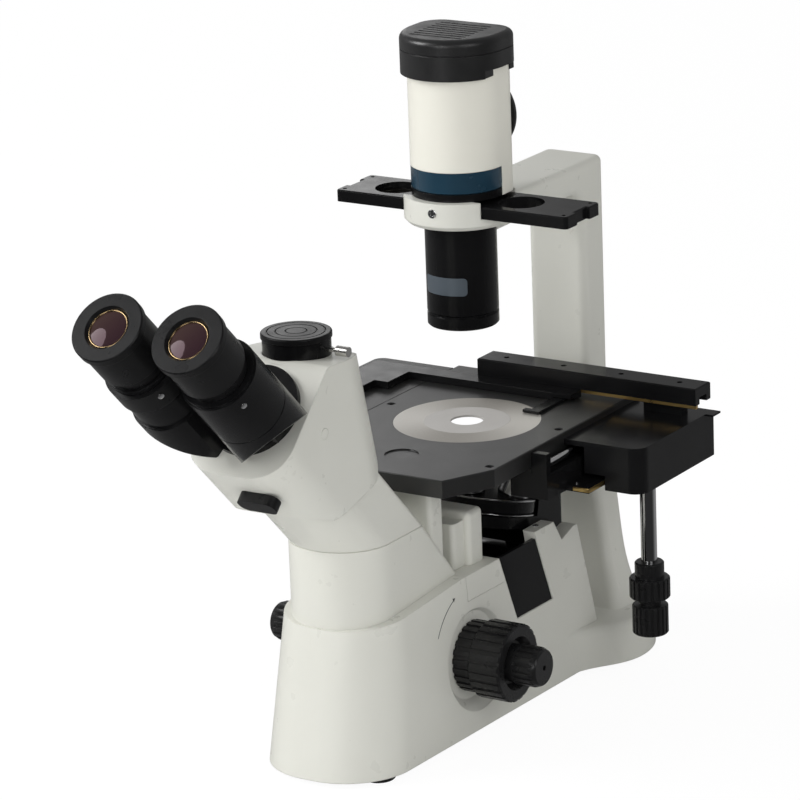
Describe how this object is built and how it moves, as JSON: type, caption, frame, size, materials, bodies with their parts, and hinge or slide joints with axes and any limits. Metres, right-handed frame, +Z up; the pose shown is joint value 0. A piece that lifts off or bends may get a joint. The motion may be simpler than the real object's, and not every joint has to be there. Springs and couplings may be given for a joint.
{
  "type": "inverted microscope",
  "caption": "Inverted biological microscope: cast stand with turret under a fixed stage, mechanical stage, lamp pillar with phase slider, two-eyepiece head and photo port.",
  "frame": {"origin": "where the optical axis of the working objective and condenser meets the bench", "axes": "+Z up along the optical axis, -Y towards the user and the eyepieces, +X to the user's right"},
  "size_m": [0.299, 0.5817, 0.504],
  "materials": {
    "stand_paint": "satin warm off-white paint",
    "rubber": "matt black",
    "black_paint": "satin black paint",
    "black_plastic": "fine matt black",
    "grey_plastic": "matt mid grey",
    "lamp_paint": "satin cream paint",
    "arm_paint": "satin black paint",
    "knob_plastic": "fine matt black",
    "steel": "brushed",
    "white_plate": "matt white",
    "chrome": "polished",
    "silver": "fine turned, satin",
    "brass": "satin",
    "teal": "dark teal anodised",
    "bulb_glass": "clear",
    "lens_glass": "coated, polished"
  },
  "bodies": {
    "stand": {"stand_casting": "stand_paint", "rubber_feet": "rubber", "neck_casting": "stand_paint", "head_housing": "stand_paint", "window_liner": "black_paint", "block_cover": "stand_paint", "tube_shroud": "grey_plastic", "lamp_pillar": "stand_paint", "stage_plate": "black_paint", "stage_extension": "black_paint", "stage_screws": "steel", "mains_inlet": "black_plastic", "focus_bushes": "steel", "focus_rail": "steel", "stage_guide": "black_paint", "hinge_hub": "black_paint", "port_ring": "black_paint", "condenser_tube": "black_paint", "condenser_lens": "lens_glass", "lamp_housing": "lamp_paint", "lamp_bulb": "bulb_glass", "lamp_vent_disc": "black_plastic", "slider_bridge": "black_paint", "insert_ring": "steel"},
    "coarse_drive": {"coarse_knob_left": "knob_plastic", "coarse_knob_right": "knob_plastic"},
    "fine_drive": {"fine_knob_left": "knob_plastic", "fine_knob_right": "knob_plastic"},
    "tension": {"tension_ring": "knob_plastic"},
    "nosepiece": {"nosepiece_carriage": "black_paint"},
    "turret": {"nosepiece_turret": "black_paint", "objective_low": "chrome", "objective_mid": "chrome", "objective_high": "chrome"},
    "y_carriage": {"y_housing": "black_paint", "housing_cover": "black_paint"},
    "y_drive": {"coax_tube": "chrome", "y_knob": "knob_plastic"},
    "x_carriage": {"x_bar": "black_paint", "x_rack": "brass", "plate_holder": "black_paint"},
    "x_drive": {"x_knob": "knob_plastic"},
    "finger": {"holder_finger": "silver"},
    "slider": {"phase_slider": "black_paint", "phase_annuli": "brass"},
    "diaphragm": {"diaphragm_ring": "teal"},
    "insert": {"insert_disc": "white_plate"},
    "cap": {"lamp_cap": "black_plastic"},
    "right_arm": {"arm_right": "arm_paint"},
    "left_arm": {"arm_left": "arm_paint"},
    "diopter": {"diopter_ring": "black_plastic"},
    "right_eyepiece": {"eyepiece_right": "black_plastic", "eye_lens_right": "lens_glass"},
    "left_eyepiece": {"eyepiece_left": "black_plastic", "eye_lens_left": "lens_glass"},
    "photo_cap": {"port_cap": "black_plastic"},
    "photo_screw": {"port_screw": "silver"},
    "lever": {"path_lever": "black_plastic"},
    "rocker": {"power_rocker": "black_plastic"},
    "brightness": {"brightness_knob": "knob_plastic"}
  },
  "joints": [
    {"name": "nosepiece_lift", "type": "slide", "parent": "stand", "child": "nosepiece", "axis": [0, 0, 1], "range_m": [-0.006, 0.0025]},
    {"name": "coarse_turn", "type": "hinge", "parent": "stand", "child": "coarse_drive", "pos_m": [0, -0.0847, 0.059], "axis": [1, 0, 0], "range_deg": [-58, 25]},
    {"name": "fine_turn", "type": "hinge", "parent": "stand", "child": "fine_drive", "pos_m": [0, -0.0847, 0.059], "axis": [1, 0, 0], "continuous": true},
    {"name": "tension_turn", "type": "hinge", "parent": "stand", "child": "tension", "pos_m": [0, -0.0847, 0.059], "axis": [1, 0, 0], "range_deg": [-30, 30]},
    {"name": "turret_turn", "type": "hinge", "parent": "nosepiece", "child": "turret", "pos_m": [0, 0, 0.06127], "axis": [0, 0.2588, 0.9659], "continuous": true},
    {"name": "stage_y", "type": "slide", "parent": "stand", "child": "y_carriage", "axis": [0, 1, 0], "range_m": [-0.025, 0.02]},
    {"name": "y_knob_turn", "type": "hinge", "parent": "y_carriage", "child": "y_drive", "pos_m": [0.13, 0.04, 0.1], "axis": [0, 0, 1], "range_deg": [-180, 145]},
    {"name": "stage_x", "type": "slide", "parent": "y_carriage", "child": "x_carriage", "axis": [1, 0, 0], "range_m": [-0.035, 0.03]},
    {"name": "x_knob_turn", "type": "hinge", "parent": "y_carriage", "child": "x_drive", "pos_m": [0.13, 0.04, 0.1], "axis": [0, 0, 1], "range_deg": [-268, 230]},
    {"name": "finger_swing", "type": "hinge", "parent": "x_carriage", "child": "finger", "pos_m": [0.0375, 0.0745, 0.2095], "axis": [0, 0, 1], "range_deg": [0, 30], "stiffness_Nm_per_rad": 0.02, "springref_deg": -11.46},
    {"name": "phase_slide", "type": "slide", "parent": "stand", "child": "slider", "axis": [1, 0, 0], "range_m": [-0.053, 0.053]},
    {"name": "diaphragm_turn", "type": "hinge", "parent": "stand", "child": "diaphragm", "pos_m": [0, 0, 0.397], "axis": [0, 0, 1], "range_deg": [-45, 45]},
    {"name": "insert_turn", "type": "hinge", "parent": "stand", "child": "insert", "pos_m": [0, 0, 0.207], "axis": [0, 0, 1], "continuous": true},
    {"name": "cap_lift", "type": "slide", "parent": "stand", "child": "cap", "axis": [0, 0, 1], "range_m": [0, 0.025]},
    {"name": "right_arm_swing", "type": "hinge", "parent": "stand", "child": "right_arm", "pos_m": [0, -0.274, 0.2917], "axis": [0, -0.7071, 0.7071], "range_deg": [-7, 15]},
    {"name": "left_arm_swing", "type": "hinge", "parent": "stand", "child": "left_arm", "pos_m": [0, -0.274, 0.2917], "axis": [0, -0.7071, 0.7071], "range_deg": [-15, 7]},
    {"name": "diopter_turn", "type": "hinge", "parent": "left_arm", "child": "diopter", "pos_m": [-0.0325, -0.28998, 0.27572], "axis": [0, -0.7071, 0.7071], "range_deg": [-60, 60]},
    {"name": "right_eyepiece_pull", "type": "slide", "parent": "right_arm", "child": "right_eyepiece", "axis": [0, -0.7071, 0.7071], "range_m": [0, 0.03]},
    {"name": "left_eyepiece_pull", "type": "slide", "parent": "left_arm", "child": "left_eyepiece", "axis": [0, -0.7071, 0.7071], "range_m": [0, 0.03]},
    {"name": "photo_cap_lift", "type": "slide", "parent": "stand", "child": "photo_cap", "axis": [0, 0, 1], "range_m": [0, 0.01]},
    {"name": "photo_screw_turn", "type": "hinge", "parent": "stand", "child": "photo_screw", "pos_m": [0.03, -0.2194, 0.32525], "axis": [1, 0, 0], "continuous": true},
    {"name": "path_lever_slide", "type": "slide", "parent": "stand", "child": "lever", "axis": [1, 0, 0], "range_m": [-0.012, 0]},
    {"name": "power_rock", "type": "hinge", "parent": "stand", "child": "rocker", "pos_m": [0, 0.164, 0.108], "axis": [1, 0, 0], "range_deg": [-9, 9]},
    {"name": "brightness_turn", "type": "hinge", "parent": "stand", "child": "brightness", "pos_m": [-0.0573, 0.024, 0.062], "axis": [-1, 0, 0], "range_deg": [-140, 140]}
  ],
  "couplings": [
    {"joint": "coarse_turn", "follows": "nosepiece_lift", "rad_per_m": 166.66},
    {"joint": "y_knob_turn", "follows": "stage_y", "rad_per_m": 125},
    {"joint": "x_knob_turn", "follows": "stage_x", "rad_per_m": 133.33},
    {"joint": "left_arm_swing", "follows": "right_arm_swing", "ratio": -1}
  ]
}
